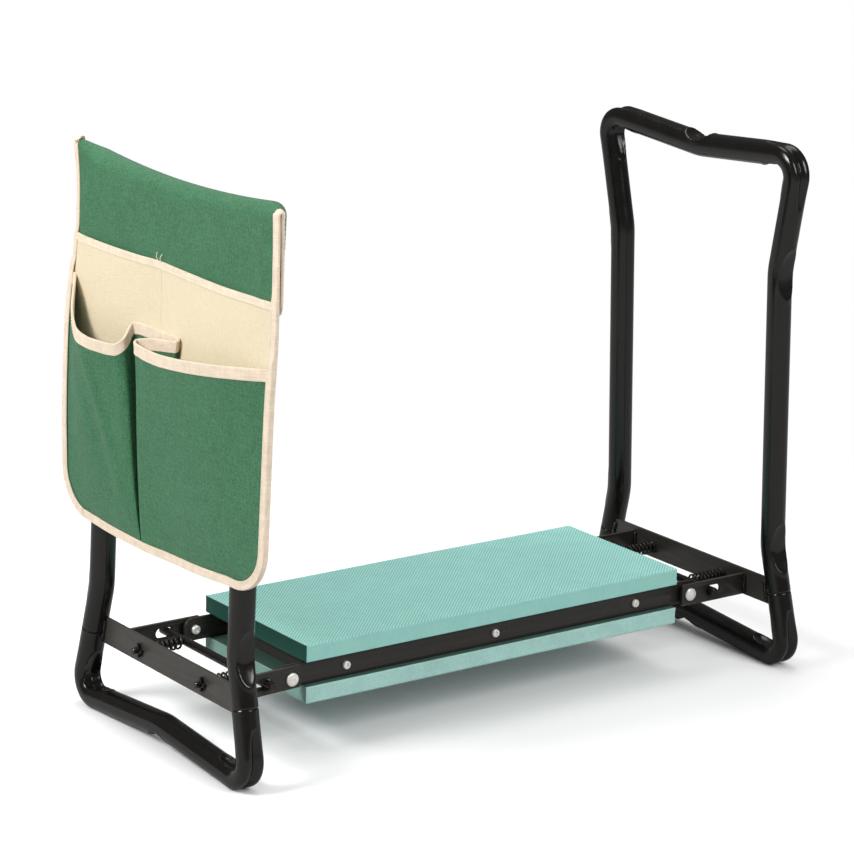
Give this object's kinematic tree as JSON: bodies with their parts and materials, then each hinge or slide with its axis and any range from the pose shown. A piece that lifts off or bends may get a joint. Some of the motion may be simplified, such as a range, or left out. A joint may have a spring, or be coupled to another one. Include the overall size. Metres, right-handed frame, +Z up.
{
  "type": "garden kneeler seat",
  "caption": "Folding garden kneeler seat: foam pads on a steel frame with bent-tube handles that hinge and lock, and a hanging tool bag.",
  "frame": {"origin": "centre of the upper pad's top face, where a person kneels or sits", "axes": "+X along the seat towards the right frame, +Y towards the back, +Z up with the short feet on the ground"},
  "size_m": [0.6147, 0.316, 0.4894],
  "materials": {
    "pad_foam": "matt closed-cell foam with a fine moulded dot texture on its faces",
    "board": "matt black moulded board",
    "black_coat": "gloss black powder coat on steel",
    "zinc": "bright zinc plating",
    "washer": "black nylon",
    "spring_steel": "blackened spring wire",
    "bag_green": "green plain-weave polyester",
    "bag_cream": "cream plain-weave polyester",
    "bag_binding": "peach-beige woven edge tape",
    "hook_and_loop": "dark hook-and-loop tape"
  },
  "bodies": {
    "seat": {"upper_pad": "pad_foam", "lower_pad": "pad_foam", "seat_board": "board", "front_rail": "black_coat", "rear_rail": "black_coat", "left_end_bar": "black_coat", "right_end_bar": "black_coat", "front_left_rail_screw": "zinc", "front_middle_rail_screw": "zinc", "front_right_rail_screw": "zinc", "rear_left_rail_screw": "zinc", "rear_middle_rail_screw": "zinc", "rear_right_rail_screw": "zinc", "front_left_hinge_rivet": "zinc", "front_right_hinge_rivet": "zinc", "rear_left_hinge_rivet": "zinc", "rear_right_hinge_rivet": "zinc", "front_left_hinge_washer": "washer", "front_right_hinge_washer": "washer", "rear_left_hinge_washer": "washer", "rear_right_hinge_washer": "washer"},
    "left_frame": {"left_handle_tube": "black_coat", "left_foot_tube": "black_coat", "left_cross_plate": "black_coat", "front_left_arm": "black_coat", "rear_left_arm": "black_coat", "front_left_spring": "spring_steel", "rear_left_spring": "spring_steel", "bag_panel": "bag_green", "bag_upper_pocket": "bag_cream", "bag_front_lower_pocket": "bag_green", "bag_rear_lower_pocket": "bag_green", "bag_front_pocket_binding": "bag_binding", "bag_rear_pocket_binding": "bag_binding", "bag_hook_strip": "hook_and_loop", "bag_loop_strip": "hook_and_loop"},
    "right_frame": {"right_handle_tube": "black_coat", "right_foot_tube": "black_coat", "right_cross_plate": "black_coat", "front_right_arm": "black_coat", "rear_right_arm": "black_coat", "front_right_spring": "spring_steel", "rear_right_spring": "spring_steel"},
    "left_lock": {"left_lock_rod": "black_coat", "front_left_guide_pin": "black_coat", "rear_left_guide_pin": "black_coat"},
    "right_lock": {"right_lock_rod": "black_coat", "front_right_guide_pin": "black_coat", "rear_right_guide_pin": "black_coat"}
  },
  "joints": [
    {"name": "left_fold", "type": "hinge", "parent": "seat", "child": "left_frame", "pos_m": [-0.216, 0, -0.027], "axis": [0, 1, 0], "range_deg": [0, 84]},
    {"name": "right_fold", "type": "hinge", "parent": "seat", "child": "right_frame", "pos_m": [0.216, 0, -0.027], "axis": [0, -1, 0], "range_deg": [0, 92]},
    {"name": "left_unlock", "type": "slide", "parent": "left_frame", "child": "left_lock", "axis": [-1, 0, 0], "range_m": [0, 0.0075], "stiffness_N_per_m": 800, "springref_m": -0.006, "deforming": ["front_left_spring", "rear_left_spring"]},
    {"name": "right_unlock", "type": "slide", "parent": "right_frame", "child": "right_lock", "axis": [1, 0, 0], "range_m": [0, 0.0075], "stiffness_N_per_m": 800, "springref_m": -0.006, "deforming": ["front_right_spring", "rear_right_spring"]}
  ]
}
